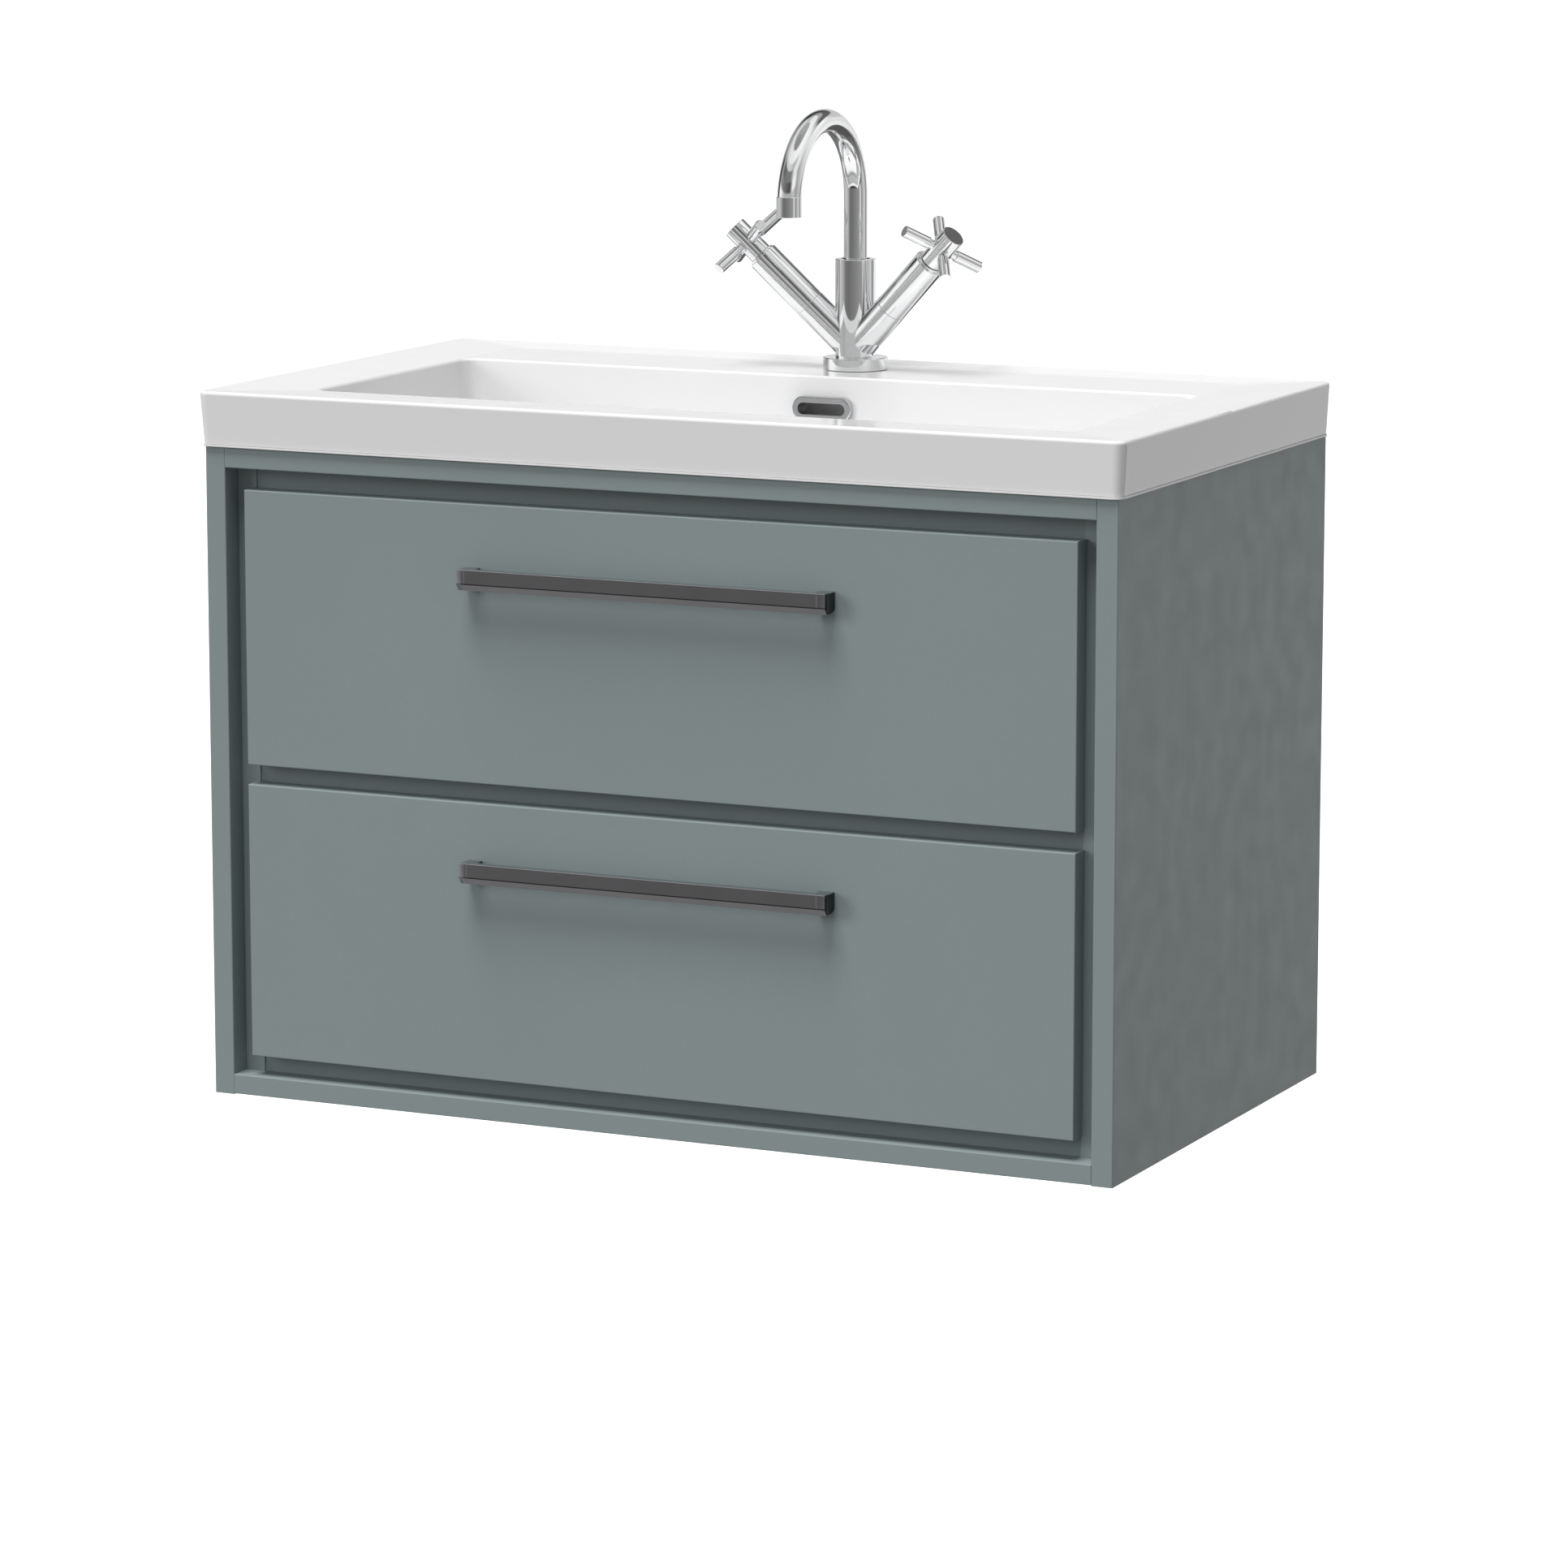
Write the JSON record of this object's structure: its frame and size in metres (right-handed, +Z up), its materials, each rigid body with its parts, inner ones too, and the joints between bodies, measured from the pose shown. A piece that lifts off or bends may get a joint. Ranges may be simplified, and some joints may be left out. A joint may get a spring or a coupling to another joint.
{
  "type": "wall-hung vanity cabinet with basin",
  "caption": "Wall-hung bathroom vanity: painted cabinet with sliding drawers and bar handles, rectangular drop-on basin, push waste and cross-handle mixer tap with swan-neck spout.",
  "frame": {"origin": "on the wall plane, at the centre of the four holes of the wall plates", "axes": "+Z up, -Y out of the front of the drawers, +Y into the wall, +X to the right for someone facing the drawers"},
  "size_m": [0.8106, 0.471, 0.8021],
  "materials": {
    "black_rubber": "matt",
    "brass": "turned",
    "chrome": "polished",
    "glazed_ceramic": "gloss white glaze",
    "grey_painted_steel": "matt grey powder coat",
    "grey_plastic": "matt moulded",
    "gunmetal_chrome": "dark polished",
    "lacquered_board": "satin grey-green lacquer on board",
    "raw_board": "melamine-faced board, pale grey",
    "recess_board": "satin grey-green lacquer on board, in shadow",
    "zinc_steel": "bright zinc"
  },
  "bodies": {
    "cabinet": {"basin": "glazed_ceramic", "bottom_back_rail": "raw_board", "bottom_panel": "lacquered_board", "cabinet_hangers": "grey_plastic", "cold_valve_cartridge": "brass", "cold_valve_sleeve": "chrome", "hanger_hooks": "zinc_steel", "hot_valve_cartridge": "brass", "hot_valve_sleeve": "chrome", "left_inner_panel": "lacquered_board", "left_side_panel": "lacquered_board", "lower_cabinet_runners": "zinc_steel", "lower_recess_rail": "recess_board", "middle_recess_rail": "recess_board", "overflow_ring": "chrome", "right_inner_panel": "lacquered_board", "right_side_panel": "lacquered_board", "spout_seal_ring": "black_rubber", "tap_body": "chrome", "tap_clamp_washer": "zinc_steel", "tap_flange": "chrome", "tap_gasket": "black_rubber", "tap_nut": "brass", "tap_stud": "zinc_steel", "top_back_rail": "raw_board", "top_front_rail": "lacquered_board", "upper_cabinet_runners": "zinc_steel", "upper_recess_rail": "recess_board", "wall_plates": "zinc_steel", "waste_backnut": "grey_plastic", "waste_body": "chrome", "waste_seal": "black_rubber"},
    "upper_drawer": {"trap_cutout_surround": "grey_plastic", "upper_bar_handle": "gunmetal_chrome", "upper_drawer_back": "raw_board", "upper_drawer_base": "raw_board", "upper_drawer_front": "lacquered_board", "upper_drawer_left_side": "grey_painted_steel", "upper_drawer_right_side": "grey_painted_steel", "upper_drawer_runners": "zinc_steel", "upper_handle_screws": "zinc_steel"},
    "lower_drawer": {"lower_bar_handle": "gunmetal_chrome", "lower_drawer_back": "raw_board", "lower_drawer_base": "raw_board", "lower_drawer_front": "lacquered_board", "lower_drawer_left_side": "grey_painted_steel", "lower_drawer_right_side": "grey_painted_steel", "lower_drawer_runners": "zinc_steel", "lower_handle_screws": "zinc_steel"},
    "upper_runner_middle": {"upper_middle_runners": "zinc_steel"},
    "lower_runner_middle": {"lower_middle_runners": "zinc_steel"},
    "hot_handle": {"hot_cross_handle": "chrome", "hot_spindle": "brass"},
    "cold_handle": {"cold_cross_handle": "chrome", "cold_spindle": "brass"},
    "spout": {"spout_tube": "chrome", "aerator": "chrome"},
    "plug": {"waste_plug": "chrome", "plug_stem": "brass"}
  },
  "joints": [
    {"name": "upper_drawer_slide", "type": "slide", "parent": "cabinet", "child": "upper_drawer", "axis": [0, -1, 0], "range_m": [0, 0.34]},
    {"name": "upper_runner_slide", "type": "slide", "parent": "cabinet", "child": "upper_runner_middle", "axis": [0, -1, 0], "range_m": [0, 0.17]},
    {"name": "lower_drawer_slide", "type": "slide", "parent": "cabinet", "child": "lower_drawer", "axis": [0, -1, 0], "range_m": [0, 0.34]},
    {"name": "lower_runner_slide", "type": "slide", "parent": "cabinet", "child": "lower_runner_middle", "axis": [0, -1, 0], "range_m": [0, 0.17]},
    {"name": "hot_handle_turn", "type": "hinge", "parent": "cabinet", "child": "hot_handle", "pos_m": [-0.08858, -0.07909, 0.23972], "axis": [-0.6921, -0.1726, 0.7009], "range_deg": [0, 90]},
    {"name": "cold_handle_turn", "type": "hinge", "parent": "cabinet", "child": "cold_handle", "pos_m": [0.08858, -0.07909, 0.23972], "axis": [-0.6921, 0.1726, -0.7009], "range_deg": [0, 90]},
    {"name": "spout_swivel", "type": "hinge", "parent": "cabinet", "child": "spout", "pos_m": [0, -0.057, 0.227], "axis": [0, 0, 1], "range_deg": [-60, 60]},
    {"name": "waste_plug_press", "type": "slide", "parent": "cabinet", "child": "plug", "axis": [0, 0, -1], "range_m": [0, 0.008], "stiffness_N_per_m": 600, "springref_m": -0.01}
  ],
  "couplings": [
    {"joint": "upper_runner_slide", "follows": "upper_drawer_slide", "ratio": 0.5},
    {"joint": "lower_runner_slide", "follows": "lower_drawer_slide", "ratio": 0.5}
  ]
}
